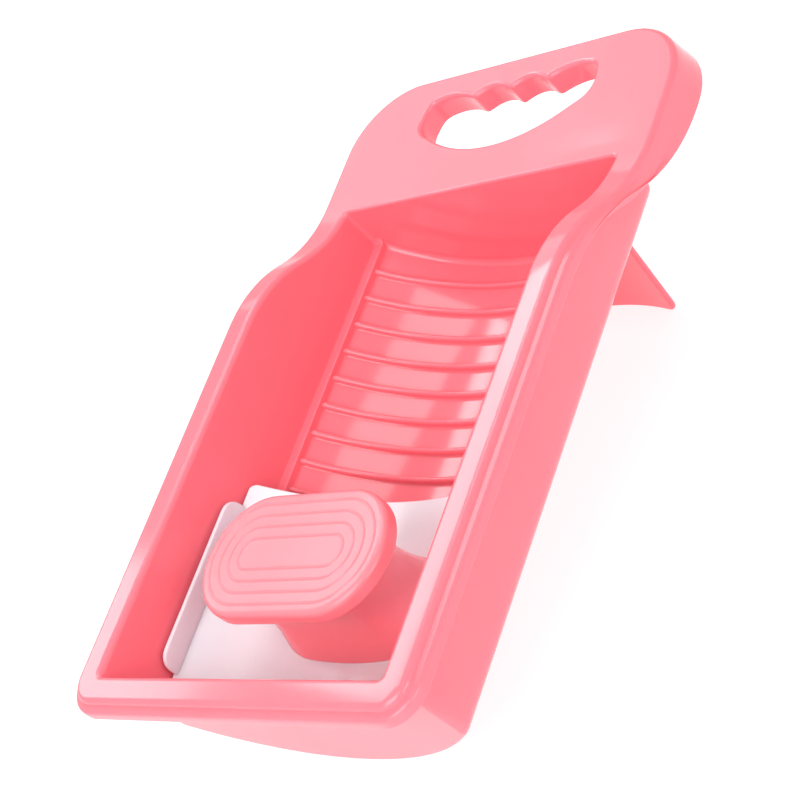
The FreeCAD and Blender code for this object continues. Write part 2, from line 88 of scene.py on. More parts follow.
# stand
FLAP_HALF, FLAP_CORNER, FLAP_THICK = 46.0, 4.0, 2.4
KNUCKLE_R, KNUCKLE_LENGTH = 2.6, 4.0
NOTCH_IN, NOTCH_OUT, NOTCH_DEPTH = 37.4, 42.0, 3.8

# rubbing tool
TOOL_Y = 64.7
SOLE_TOP, SOLE_R = -49.5, 125.0
SOLE_HALF_X, SOLE_HALF_Y, SOLE_HALF_THICK = 70.0, 46.6, 1.1
RUNNER_TOP, RUNNER_HALF_Y, RUNNER_HALF_THICK = -20.0, 36.0, 1.0
BLADE_COUNT, BLADE_R, BLADE_HALF = 6, 102.5, 1.15
KNOB_LOW, KNOB_TOP = -12.5, -4.7
KNOB_HALF_LENGTH, KNOB_HALF_WIDTH = 45.6, 25.1
KNOB_BEADS, KNOB_BEAD_PITCH = 4, 4.7


def dip(y, z_rim, z_handle, y_end):
    """Side view of the rim: level, two equal arcs, level again."""
    run, drop = y_end - DIP_START, z_rim - z_handle
    r = (run * run + drop * drop) / (4 * drop)
    if y <= DIP_START:
        return z_rim
    if y < DIP_START + run / 2:
        return z_rim - r + math.sqrt(r * r - (y - DIP_START) ** 2)
    if y < y_end:
        return z_handle + r - math.sqrt(r * r - (y_end - y) ** 2)
    return z_handle


def rim(y):
    """Height of the top of the rim and the handle."""
    return dip(y, 0.0, -DROP, DIP_END)


def crease(y):
    """Height of the crease between the top and its outer step."""
    return dip(y, -STEP_DOWN, -DROP - HANDLE_STEP_DOWN, CREASE_END)


def skirt(y):
    """Height of the lower edge of the lip and the handle's skirt."""
    return dip(y, -LIP_DEPTH, -DROP - HANDLE_SKIRT, SKIRT_END)


def arc_z(x, r, centre=ARC_Z):
    """Height of a cylinder along y: floor, back and sole are all such arcs."""
    return centre - math.sqrt(r * r - x * x)


def blend(a, b, t):
    return a + (b - a) * t


def smooth(t):
    t = min(max(t, 0.0), 1.0)
    return t * t * (3 - 2 * t)


# ---- mesh building ------------------------------------------------------------------

SLIVER = 0.001              # triangles of less than half this area, in square mm, are left out
WELD = 0.000004             # points nearer than this, in metres, become one


class Shell:
    """Collects points and faces in board millimetres."""

    def __init__(self):
        self.points, self.faces = [], []

    def grid(self, rows, closed=False, flip=False):
        """Quads between successive rows of points."""
        start, n = len(self.points), len(rows[0])
        for row in rows:
            self.points.extend(row)
        for j in range(len(rows) - 1):
            for i in range(n if closed else n - 1):
                a, b = start + j * n + i, start + j * n + (i + 1) % n
                quad = (a, b, b + n, a + n)
                self.faces.append(quad[::-1] if flip else quad)

    def sheet(self, outer, holes, place, step=8.0, flip=False):
        """Fills the plan region inside outer and outside holes; place(x, y) gives the point."""
        loops = [np.array(loop, float)[:, :2] for loop in [outer] + holes]
        points = [tuple(p) for loop in loops for p in loop]
        edges, base = [], 0
        for loop in loops:
            n = len(loop)
            edges += [(base + i, base + (i + 1) % n) for i in range(n)]
            base += n
        low, high = loops[0].min(0), loops[0].max(0)
        xs = np.arange(low[0] + step / 2, high[0], step)
        ys = np.arange(low[1] + step / 4, high[1], step / 2)
        mesh = np.array([(x, y) for x in xs for y in ys])
        if len(mesh):
            keep = inside(mesh, loops[0])
            for hole in loops[1:]:
                keep &= ~inside(mesh, hole)
            edge_points = np.array(points)
            mesh = mesh[keep]
            gap = [np.min(np.abs(edge_points - p).max(1)) for p in mesh]
            points += [tuple(p) for p, g in zip(mesh, gap) if g > step / 4]
        out = delaunay_2d_cdt([Vector(p) for p in points], edges, [], 0, 1e-5)
        flat = np.array([(p.x, p.y) for p in out[0]])
        triangles = np.array(out[2])
        centres = flat[triangles].mean(1)
        keep = inside(centres, loops[0])
        for hole in loops[1:]:
            keep &= ~inside(centres, hole)
        (ax, ay), (bx, by), (cx, cy) = [flat[triangles[:, i]].T for i in range(3)]
        keep &= np.abs((bx - ax) * (cy - ay) - (cx - ax) * (by - ay)) > SLIVER
        start = len(self.points)
        self.points.extend(place(x, y) for x, y in flat)
        for triangle in triangles[keep]:
            face = tuple(int(start + i) for i in triangle)
            self.faces.append(face[::-1] if flip else face)

    def cap(self, row, flip=False):
        """Closes a flat ring of points with one face."""
        start = len(self.points)
        self.points.extend(row)
        face = tuple(range(start, start + len(row)))
        self.faces.append(face[::-1] if flip else face)


def inside(points, loop):
    """Which points lie inside a closed plan loop."""
    result = np.zeros(len(points), bool)
    following = np.roll(loop, -1, 0)
    for (x0, y0), (x1, y1) in zip(loop, following):
        if y0 == y1:
            continue
        crossing = (points[:, 1] > min(y0, y1)) & (points[:, 1] <= max(y0, y1))
        x = x0 + (points[:, 1] - y0) * (x1 - x0) / (y1 - y0)
        result ^= crossing & (points[:, 0] < x)
    return result


def rounded_loop(half, y0, y1, r0, r1, step=4.0, turns=12, breaks=()):
    """Rounded rectangle in plan as (x, y, outward x, outward y), anticlockwise."""
    corners = ((half - r0, y0 + r0, r0, -90), (half - r1, y1 - r1, r1, 0),
               (-half + r1, y1 - r1, r1, 90), (-half + r0, y0 + r0, r0, 180))
    loop = []
    for k, (cx, cy, r, start) in enumerate(corners):
        for i in range(turns + 1):
            a = math.radians(start + 90 * i / turns)
            loop.append((cx + r * math.cos(a), cy + r * math.sin(a), math.cos(a), math.sin(a)))
        nx, ny = loop[-1][2:]
        nx_c, ny_c, nr, _ = corners[(k + 1) % 4]
        a = math.radians(start + 90)
        end = (nx_c + nr * math.cos(a), ny_c + nr * math.sin(a))
        x, y = loop[-1][:2]
        length = math.hypot(end[0] - x, end[1] - y)
        count = max(int(length / step), 1)
        marks = [i / count for i in range(1, count)]
        if abs(end[1] - y) < 0.01:
            marks += [(b - x) / (end[0] - x) for b in breaks]
        for t in sorted(marks):
            loop.append((blend(x, end[0], t), blend(y, end[1], t), nx, ny))
    return loop


def shifted(loop, distance):
    """A plan loop moved inwards by distance, a number or a function of the loop's y."""
    moved = []
    for x, y, nx, ny in loop:
        d = distance(y) if callable(distance) else distance
        moved.append((x - nx * d, y - ny * d, nx, ny))
    return moved


def stadium(half_length, half_width, turns=24, sides=10):
    """Oval with straight sides about the tool's centre, as (x, y, outward x, outward y)."""
    straight = half_length - half_width
    loop = []
    for sign, start in ((1, -90), (-1, 90)):
        for i in range(turns + 1):
            a = math.radians(start + 180 * i / turns)
            loop.append((sign * straight + half_width * math.cos(a),
                         TOOL_Y + half_width * math.sin(a), math.cos(a), math.sin(a)))
        for i in range(1, sides):
            x = sign * straight * (1 - 2 * i / sides)
            loop.append((x, TOOL_Y + sign * half_width, 0.0, float(sign)))
    return loop


def three_point_arc(a, m, b, count):
    """Points from a up to, but not including, b on the circle through a, m and b."""
    (ax, ay), (mx, my), (bx, by) = a, m, b
    d = 2 * (ax * (my - by) + mx * (by - ay) + bx * (ay - my))
    sa, sm, sb = ax * ax + ay * ay, mx * mx + my * my, bx * bx + by * by
    cx = (sa * (my - by) + sm * (by - ay) + sb * (ay - my)) / d
    cy = (sa * (bx - mx) + sm * (ax - bx) + sb * (mx - ax)) / d
    r = math.hypot(ax - cx, ay - cy)
    start, middle, end = [math.atan2(p[1] - cy, p[0] - cx) for p in (a, m, b)]
    turn = (end - start) % (2 * math.pi)
    if (middle - start) % (2 * math.pi) > turn:
        turn -= 2 * math.pi
    return [(cx + r * math.cos(start + turn * i / count), cy + r * math.sin(start + turn * i / count))
            for i in range(count)]


def even_loop(points, step, soften):
    """Closed loop at an even step, softened over a few points, with outward normals."""
    p = np.array(points + [points[0]])
    along = np.r_[0, np.cumsum(np.hypot(*np.diff(p, axis=0).T))]
    count = int(along[-1] / step)
    at = np.linspace(0, along[-1], count, endpoint=False)
    q = np.c_[np.interp(at, along, p[:, 0]), np.interp(at, along, p[:, 1])]
    for _ in range(soften):
        q = 0.5 * q + 0.25 * (np.roll(q, 1, 0) + np.roll(q, -1, 0))
    tangent = np.roll(q, -1, 0) - np.roll(q, 1, 0)
    tangent /= np.hypot(*tangent.T)[:, None]
    return [(x, y, ty, -tx) for (x, y), (tx, ty) in zip(q, tangent)]


def plate(shell, loop, place, half_thick, edge, step=8.0):
    """A plate with rounded edges; place(x, y, t) maps the plan and the thickness."""
    rows = []
    for i in range(9):
        a = math.radians(-90 + 180 * i / 8)
        ring = shifted(loop, edge * (1 - math.cos(a)))
        t = (half_thick - edge) * (1 if i > 4 else -1 if i < 4 else 0) + edge * math.sin(a)
        rows.append([place(p[0], p[1], t) for p in ring])
    shell.grid(rows, closed=True)
    ring = shifted(loop, edge)
    shell.sheet(ring, [], lambda x, y: place(x, y, half_thick), step)
    shell.sheet(ring, [], lambda x, y: place(x, y, -half_thick), step, flip=True)


def washing_rib(shell, y):
    """A rounded rib across the floor, following its curve, with a small fillet at its root."""
    rows = []
    ends = 1.3
    profile = [(-RIB_HALF - 0.5, 0.0), (-RIB_HALF - 0.12, 0.18), (-RIB_HALF + 0.05, 0.6)]
    height = FLOOR_R - RIB_R
    crown = RIB_HALF * 0.95
    for i in range(9):
        a = math.radians(180 - 180 * i / 8)
        profile.append((crown * math.cos(a), height - crown + crown * math.sin(a)))
    profile += [(-dy, h) for dy, h in reversed(profile[:3])]
    count = 72
    for k in range(count + 1):
        angle = RIB_SWEEP * (2 * k / count - 1)
        from_end = (RIB_SWEEP - abs(angle)) * RIB_R
        t = 1.0 if from_end >= ends else math.sqrt(max(1 - (1 - from_end / ends) ** 2, 0.0))
        row = []
        for dy, h in profile:
            r = FLOOR_R - h * blend(0.35, 1.0, t)
            row.append((r * math.sin(angle), y + dy * blend(0.4, 1, t), ARC_Z - r * math.cos(angle)))
        rows.append(row)
    shell.grid(rows, flip=True)


def blade(shell, y):
    """A thin round-edged blade hanging from the sole down towards the floor's curve."""
    rows = []
    sweep = math.radians(35.8)
    offset = SOLE_TOP + SOLE_R - ARC_Z
    middle_r = SOLE_R + SOLE_HALF_THICK
    for k in range(61):
        a = sweep * (k / 30 - 1)
        root = math.sqrt(middle_r ** 2 - (offset * math.sin(a)) ** 2) - offset * math.cos(a)
        profile = [(-BLADE_HALF, root)]
        for i in range(9):
            turn = math.radians(180 - 180 * i / 8)
            profile.append((BLADE_HALF * math.cos(turn),
                            BLADE_R - BLADE_HALF + BLADE_HALF * math.sin(turn)))
        profile.append((BLADE_HALF, root))
        rows.append([(r * math.sin(a), y + dy, ARC_Z - r * math.cos(a)) for dy, r in profile])
    shell.grid(rows)
    shell.cap(rows[0], flip=True)
    shell.cap(rows[-1])


def bar(shell, corners, x0, x1, edge):
    """A bevelled prism along x with a convex outline of (y, z) corners."""

    def bevelled(shrink):
        ring = []
        n = len(corners)
        cy = sum(c[0] for c in corners) / n
        cz = sum(c[1] for c in corners) / n
        for y, z in corners:
            length = math.hypot(y - cy, z - cz)
            ring.append((y - (y - cy) / length * shrink, z - (z - cz) / length * shrink))
        return ring

    rows = []
    for x, shrink in ((x0, edge * 6), (x0, edge), (x0 + edge * 0.4, edge * 0.3), (x0 + edge, 0),
                      (x1 - edge, 0), (x1 - edge * 0.4, edge * 0.3), (x1, edge), (x1, edge * 6)):
        rows.append([(x, y, z) for y, z in bevelled(shrink)])
    shell.grid(rows, closed=True)
    shell.cap(rows[0])
    shell.cap(rows[-1], flip=True)


def make_piece(name, shell, material, body, node, sharp=40.0):
    """Leans a shell back with the board, attaches it to its body and hides the CAD node whose looks
    it takes.
    """
    mesh = bpy.data.meshes.new(name)
    mesh.from_pydata([BOARD @ Vector(p) for p in shell.points], [], shell.faces)
    bm = bmesh.new()
    bm.from_mesh(mesh)
    bmesh.ops.remove_doubles(bm, verts=bm.verts, dist=WELD)
    bmesh.ops.dissolve_degenerate(bm, edges=bm.edges, dist=0.000001)
    bmesh.ops.recalc_face_normals(bm, faces=bm.faces)
    bm.to_mesh(mesh)
    bm.free()
    for polygon in mesh.polygons:
        polygon.use_smooth = True
    mesh.set_sharp_from_angle(angle=math.radians(sharp))
    mesh.materials.append(material)
    piece = bpy.data.objects.new(name, mesh)
    bpy.context.scene.collection.objects.link(piece)
    weighted = piece.modifiers.new("even_shading", "WEIGHTED_NORMAL")
    weighted.keep_sharp = True
    weighted.weight = 50
    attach(piece, body)
    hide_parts(node)


# ---- materials ----------------------------------------------------------------------

def new_material(name):
    """A fresh material with its nodes, links and shader."""
    material = bpy.data.materials.new(name)
    material.use_nodes = True
    nodes, links = material.node_tree.nodes, material.node_tree.links
    return material, nodes, links, nodes["Principled BSDF"]


def noise(nodes, links, scale, detail, rough=0.5, stretch=(1, 1, 1)):
    """Cloudy noise fixed to the object; scale is in cells per metre."""
    place = nodes.new("ShaderNodeTexCoord")
    mapping = nodes.new("ShaderNodeMapping")
    mapping.inputs["Scale"].default_value = stretch
    texture = nodes.new("ShaderNodeTexNoise")
    texture.inputs["Scale"].default_value = scale
    texture.inputs["Detail"].default_value = detail
    texture.inputs["Roughness"].default_value = rough
    links.new(place.outputs["Object"], mapping.inputs["Vector"])
    links.new(mapping.outputs["Vector"], texture.inputs["Vector"])
    return texture.outputs["Fac"]


def ramp(nodes, links, source, dark, light):
    """Colour that goes from dark to light over the middle of a noise's range."""
    node = nodes.new("ShaderNodeValToRGB")
    low, high = node.color_ramp.elements
    low.position, low.color = 0.3, dark
    high.position, high.color = 0.7, light
    links.new(source, node.inputs["Fac"])
    return node.outputs["Color"]


def remap(nodes, links, source, low, high):
    """A noise stretched to run from low to high."""
    node = nodes.new("ShaderNodeMapRange")
    node.inputs["To Min"].default_value = low
    node.inputs["To Max"].default_value = high
    links.new(source, node.inputs["Value"])
    return node.outputs["Result"]


def bump(nodes, links, shader, source, distance, strength):
    """Fine surface relief; distance is its height in metres."""
    node = nodes.new("ShaderNodeBump")
    node.inputs["Distance"].default_value = distance
    node.inputs["Strength"].default_value = strength
    links.new(source, node.inputs["Height"])
    links.new(node.outputs["Normal"], shader.inputs["Normal"])


def moulded_plastic(name, dark, light, roughness):
    """Glossy moulded plastic: faint flow marks, a fine orange peel and soft depth of colour."""
    material, nodes, links, shader = new_material(name)
    flow = noise(nodes, links, 9.0, 3.0, 0.45, (3.0, 1.0, 2.0))
    links.new(ramp(nodes, links, flow, dark, light), shader.inputs["Base Color"])
    haze = noise(nodes, links, 60.0, 4.0, 0.6)
    links.new(remap(nodes, links, haze, roughness - 0.015, roughness + 0.025),
              shader.inputs["Roughness"])
    bump(nodes, links, shader, noise(nodes, links, 420.0, 2.0), 0.000008, 0.35)
    shader.inputs["IOR"].default_value = 1.49
    shader.inputs["Subsurface Weight"].default_value = 0.2
    shader.inputs["Subsurface Radius"].default_value = (1.0, 0.25, 0.3)
    shader.inputs["Subsurface Scale"].default_value = 0.004
    return material


def milky_plastic():
    """Milky, slightly see-through sole with a brushed haze."""
    material, nodes, links, shader = new_material("milky_sole")
    cloud = noise(nodes, links, 22.0, 4.0, 0.55, (1.0, 2.5, 1.0))
    links.new(ramp(nodes, links, cloud, (0.83, 0.85, 0.94, 1), (0.87, 0.91, 0.98, 1)),
              shader.inputs["Base Color"])
    links.new(remap(nodes, links, noise(nodes, links, 90.0, 4.0), 0.16, 0.24),
              shader.inputs["Roughness"])
    bump(nodes, links, shader, noise(nodes, links, 300.0, 2.0), 0.00002, 0.6)
    shader.inputs["IOR"].default_value = 1.49
    shader.inputs["Subsurface Weight"].default_value = 0.35
    shader.inputs["Subsurface Radius"].default_value = (1.0, 0.9, 0.9)
    shader.inputs["Subsurface Scale"].default_value = 0.003
    shader.inputs["Transmission Weight"].default_value = 0.12
    return material


def bright_steel():
    """Bright steel for the pins and screws, with fine uneven lines."""
    material, nodes, links, shader = new_material("drawn_steel")
    lines = noise(nodes, links, 300.0, 3.0, 0.6, (8.0, 1.0, 1.0))
    links.new(ramp(nodes, links, lines, (0.50, 0.50, 0.52, 1), (0.66, 0.66, 0.68, 1)),
              shader.inputs["Base Color"])
    links.new(remap(nodes, links, lines, 0.25, 0.42), shader.inputs["Roughness"])
    bump(nodes, links, shader, lines, 0.00001, 0.5)
    shader.inputs["Metallic"].default_value = 1.0
    return material


PINK = moulded_plastic("pink_shell", (0.94, 0.182, 0.228, 1), (0.96, 0.198, 0.246, 1), 0.11)
GRIP = moulded_plastic("pink_grip", (0.94, 0.222, 0.262, 1), (0.96, 0.240, 0.282, 1), 0.24)
MILKY = milky_plastic()
STEEL = bright_steel()

# ---- tray ---------------------------------------------------------------------------

outline = rounded_loop(HALF, 0.0, LENGTH, FRONT_R, HANDLE_R)


def to_handle(y):
    """0 on the straight rim, 1 on the handle."""
    return smooth((y - DIP_START) / (DIP_END - DIP_START))


def crease_in(y):
    """How far the crease stands inside the outline."""
    return blend(3.0, 1.6, to_handle(y))


def top_in(y):
    """How far the flat top ends inside the outline."""
    return crease_in(y) + 2.5


def under_top_in(y):
    """How far the hollow under the top starts inside the outline."""
    return crease_in(y) + SKIRT_THICK


def ring_row(loop, inset, height):
    """One row of a shell: a plan loop moved inwards, at a height that follows y."""
    return [(x, y, height(y)) for x, y, _, _ in shifted(loop, inset)]


# Section of the step below the crease, as (inset, depth under the crease): first on the
# straight rim, where it is a flat shelf, then on the handle, where it fades away.
STEP_SECTION = (((2.9, -0.08), (1.55, 0.2)), ((2.5, 0.05), (1.5, 0.7)), ((1.3, 0.3), (1.4, 1.5)),
                ((0.65, 0.6), (1.3, 2.4)), ((0.25, 1.1), (1.2, 3.4)), ((0.05, 1.8), (1.1, 4.6)),
                ((0.0, 2.8), (0.95, 6.0)))


def outer_edge(shell):
    """Rolled top edge, crease, step and lip; on the handle the step fades into its skirt."""
    rows = []
    for i in range(9):
        a = math.radians(90 * i / 8)
        rows.append(ring_row(
            outline, lambda y, a=a: top_in(y) - (top_in(y) - crease_in(y)) * math.sin(a),
            lambda y, a=a: rim(y) - (rim(y) - crease(y) - 0.3) * (1 - math.cos(a))))
    for on_rim, on_handle in STEP_SECTION:
        rows.append(ring_row(
            outline, lambda y, a=on_rim, b=on_handle: blend(a[0], b[0], to_handle(y)),
            lambda y, a=on_rim, b=on_handle: crease(y) - blend(a[1], b[1], to_handle(y))))
    for i in range(5):
        a = math.radians(90 * i / 4)
        rows.append(ring_row(outline, LIP_ROUND * (1 - math.cos(a)),
                             lambda y, a=a: skirt(y) + LIP_ROUND * (1 - math.sin(a))))
    for i in range(5):
        a = math.radians(90 * i / 4)
        rows.append(ring_row(outline, SKIRT_THICK - LIP_ROUND + LIP_ROUND * math.sin(a),
                             lambda y, a=a: skirt(y) + LIP_ROUND * (1 - math.cos(a))))
    rows.append(ring_row(outline, SKIRT_THICK, lambda y: crease(y) - SKIRT_THICK))
    rows.append(ring_row(outline, under_top_in, lambda y: crease(y) - SKIRT_THICK))
    rows.append(ring_row(outline, under_top_in, lambda y: rim(y) - DECK))
    shell.grid(rows, closed=True, flip=True)


def section_floor(x):
    """Height of the trough's inside below a point: ledge, step or curved floor."""
    if abs(x) >= LEDGE_IN:
        return LEDGE_Z
    return arc_z(x, FLOOR_R)


# The two close pairs of breaks put a clean step into the end walls where the ledges end.
opening = rounded_loop(OPEN_HALF, OPEN_FRONT, OPEN_END, OPEN_R, OPEN_R, turns=6,
                       breaks=(-LEDGE_IN, -LEDGE_IN + 0.02, LEDGE_IN - 0.02, LEDGE_IN))


def end_lean(z):
    """How far the trough's upper end wall has leaned inwards at a height."""
    return END_DRAFT * (-DROP - z)


def leaned(x, y, nx, ny, z):
    """A plan point of the opening, moved inwards by the draft of its wall at a height.

    The front wall also steps in below its lip. Points in a corner move with both walls.
    """
    at_front, at_end = y < OPEN_FRONT + OPEN_R + 0.01, y > OPEN_END - OPEN_R - 0.01
    in_corner = abs(x) > OPEN_HALF - OPEN_R - 0.01 and (at_front or at_end)
    if in_corner or abs(nx) > 0.5:
        x -= math.copysign(SIDE_DRAFT * -z, x)
    if in_corner or abs(ny) > 0.5:
        lip_step = FRONT_STEP_IN * min(max((-2 - z) / 13, 0.0), 1.0)
        y += FRONT_DRAFT * -z + lip_step if at_front else -end_lean(z)
    return x, y


def roll(nx, ny):
    """Radius of the trough's upper inner edge."""
    return SIDE_ROLL * nx * nx + (END_ROLL if ny > 0 else FRONT_ROLL) * ny * ny


def inner_walls(shell):
    """Rolled inner edge and the four walls of the trough; returns its plan loop on top."""
    rows = []
    for i in range(9):
        a = math.radians(90 * i / 8)
        row = []
        for x, y, nx, ny in opening:
            r = roll(nx, ny)
            lx, ly = leaned(x, y, nx, ny, rim(y) - r)
            out = r * (1 - math.sin(a))
            row.append((lx + nx * out, ly + ny * out, rim(y) - r * (1 - math.cos(a))))
        rows.append(row)
    for k in range(1, 9):
        row = []
        for x, y, nx, ny in opening:
            z = blend(rim(y) - roll(nx, ny), section_floor(x), k / 8)
            row.append((*leaned(x, y, nx, ny, z), z))
        rows.append(row)
    shell.grid(rows, closed=True)
    return rows[0]


def trough_floor(shell):
    """Side ledges with their small steps, and the curved floor, turned up at the end wall."""
    section = [(71.4, LEDGE_Z), (LEDGE_IN + 0.9, LEDGE_Z)]
    for i in range(1, 6):
        a = math.radians(90 * i / 5)
        section.append((LEDGE_IN + 0.6 - 0.6 * math.sin(a), LEDGE_Z - 0.6 * (1 - math.cos(a))))
    edge_z = arc_z(LEDGE_IN, FLOOR_R)
    section.append((LEDGE_IN, edge_z + 1.2))
    section.append((LEDGE_IN - 0.2, edge_z + 0.5))
    for i in range(61):
        x = (LEDGE_IN - 0.8) * (1 - i / 30)
        section.append((x, arc_z(x, FLOOR_R)))
    section += [(-x, z) for x, z in reversed(section[:9])]
    rows = []
    turn_up, start = 3.6, math.radians(22)
    first_y = 17.0

    def wall_y(z):
        """The end wall's place just above the floor's turned-up end."""
        return OPEN_END - end_lean(z + turn_up)

    for y in np.arange(first_y, wall_y(-70.0) - turn_up, 5.0):
        rows.append([(x, y, z) for x, z in section])
    for i in range(8):
        a = blend(start, math.pi / 2, i / 7)
        rows.append([(x, wall_y(z) - turn_up * (1 - math.sin(a)),
                      z + turn_up * (math.cos(start) - math.cos(a))) for x, z in section])
    shell.grid(rows)


def outer_trough(shell):
    """Outside of the trough: drafted walls, rounded keel and curved back."""
    wall = rounded_loop(OUT_HALF, OUT_FRONT, OUT_END, OUT_R, OUT_R, turns=8, step=4.0)

    def level(z_of):
        """The walls' plan at a height; it shrinks evenly with depth, so corners stay round."""
        row = []
        for x, y, _, ny in wall:
            z = z_of(x, y, ny)
            t = (y - OUT_FRONT) / (OUT_END - OUT_FRONT)
            row.append((x * (1 + SIDE_DRAFT * z / OUT_HALF),
                        y + blend(FRONT_DRAFT * -z, -end_lean(z), t), z))
        return row

    def foot(x):
        """Height at which the drafted wall above a plan point meets the curved back."""
        z = arc_z(x, BACK_R)
        for _ in range(3):
            z = arc_z(x * (1 + SIDE_DRAFT * z / OUT_HALF), BACK_R)
        return z

    def rounding(ny):
        """Height of the keel's rounding: flatter along the front and the end."""
        return blend(3.2, 2.0, ny * ny)

    rows = [level(lambda x, y, ny: rim(y) - DECK + 0.4)]
    for t in (0.3, 0.6, 0.85, 1.0):
        rows.append(level(lambda x, y, ny, t=t: blend(rim(y) - DECK, foot(x) + rounding(ny), t)))
    base = level(lambda x, y, ny: foot(x))
    for t in (i / 8 for i in range(1, 9)):
        row = []
        for (_, _, nx, ny), (bx, by, low) in zip(wall, base):
            reach = blend(3.2, 3.55, ny * ny)
            end = arc_z(bx - nx * reach, BACK_R)
            z = (1 - t) ** 2 * (low + rounding(ny)) + 2 * t * (1 - t) * low + t * t * end
            row.append((bx - nx * reach * t * t, by - ny * reach * t * t, z))
        rows.append(row)
    shell.grid(rows, closed=True, flip=True)
    shell.sheet([(x, y) for x, y, _ in rows[-1]], [], lambda x, y: (x, y, arc_z(x, BACK_R)),
                5.0, flip=True)
    return wall


def grip_loop():
    """Grip hole: a bowed lower edge and four finger scallops."""
    half, end_y, top_y, cusp, finger = 46.2, 275.0, 289.7, 285.7, 19.5
    low_left, low_right = (-half + 7, end_y - 5), (half - 7, end_y - 5)
    side_left, side_right = (-half, end_y + 4), (half, end_y + 4)
    high_left, high_right = (-half + 0.9, top_y - 4.4), (half - 0.9, top_y - 4.4)
    top_left, top_right = (-half + 4.6, top_y - 0.9), (half - 4.6, top_y - 0.9)
    points = three_point_arc(low_left, (0, 257.8), low_right, 60)
    points += three_point_arc(low_right, (half - 1.6, end_y - 1.2), side_right, 12)
    points += [side_right, (half - 0.4, end_y + 7)]
    points += three_point_arc(high_right, (half - 2.2, top_y - 1.8), top_right, 8)
    last = top_right
    for following in ((finger, cusp), (0.0, cusp), (-finger, cusp), top_left):
        middle = ((last[0] + following[0]) / 2, top_y)
        points += three_point_arc(last, middle, following, 20)
        last = following
    points += three_point_arc(top_left, (-half + 2.2, top_y - 1.8), high_left, 8)
    points += [high_left, (-half + 0.4, end_y + 7)]
    points += three_point_arc(side_left, (-half + 1.6, end_y - 1.2), low_left, 12)
    return even_loop(points, 0.8, 8)


def grip_hole(shell):
    """Rolled edge and turned-down collar of the grip hole; returns its two plan loops."""
    hole = grip_loop()

    def grown(distance):
        """The hole's plan, grown outwards and softened the more it grows."""
        ring = np.array([(x + nx * distance, y + ny * distance) for x, y, nx, ny in hole])
        for _ in range(int(distance * 4)):
            ring = 0.5 * ring + 0.25 * (np.roll(ring, 1, 0) + np.roll(ring, -1, 0))
        return ring

    rows = []
    edge_r = 2.0
    for i in range(9):
        a = math.radians(90 * i / 8)
        ring = grown(edge_r * (1 - math.sin(a)))
        rows.append([(x, y, rim(y) - edge_r * (1 - math.cos(a))) for x, y in ring])
    for distance, depth in ((0.0, 6.0), (0.0, 10.2), (0.15, 10.7), (0.6, 11.0), (1.8, 11.0),
                            (2.25, 10.7), (2.4, 10.2), (2.4, DECK)):
        rows.append([(x, y, -DROP - depth) for x, y in grown(distance)])
    shell.grid(rows, closed=True)
    return rows[0], rows[-1]


def stiffeners(shell):
    """Ribs under the handle; the middle ones stop at the grip hole."""
    start, high, low = OUT_END - 2, -24.0, -31.3
    for x in STIFFENER_X:
        end = 298.5 if abs(x) > 50 else 258.5
        bar(shell, [(start, low), (start, high), (end, high), (end, low)],
            x - STIFFENER_HALF, x + STIFFENER_HALF, 0.25)


def hinge_ear(shell, side):
    """Ear of the stand's hinge, standing off the tray's back."""
    ear = [(HINGE_Y - 4.4, -62.2), (HINGE_Y + 2.7, -59.5)]
    for i in range(13):
        a = math.radians(-180 * i / 12)
        ear.append((HINGE_Y + EAR_R * math.cos(a), HINGE_Z + EAR_R * math.sin(a)))
    x0, x1 = sorted((side * EAR_IN, side * EAR_OUT))
    bar(shell, ear, x0, x1, 0.4)


def make_tray():
    """Rim, handle, trough, washing ribs and hinge ears in one moulding."""
    shell = Shell()
    outer_edge(shell)
    opening_top = inner_walls(shell)
    trough_floor(shell)
    wall = outer_trough(shell)
    hole_top, hole_low = grip_hole(shell)
    top_rim = shifted(outline, top_in)
    shell.sheet(top_rim, [opening_top, hole_top], lambda x, y: (x, y, rim(y)), 7.0)
    under_rim = shifted(outline, under_top_in)
    shell.sheet(under_rim, [wall, hole_low], lambda x, y: (x, y, rim(y) - DECK), 8.0, flip=True)
    for k in range(RIB_COUNT):
        washing_rib(shell, RIB_FIRST_Y - RIB_PITCH * k)
    stiffeners(shell)
    for side in (-1, 1):
        hinge_ear(shell, side)
    make_piece("tray_moulding", shell, PINK, "board", "tray")


# ---- stand --------------------------------------------------------------------------

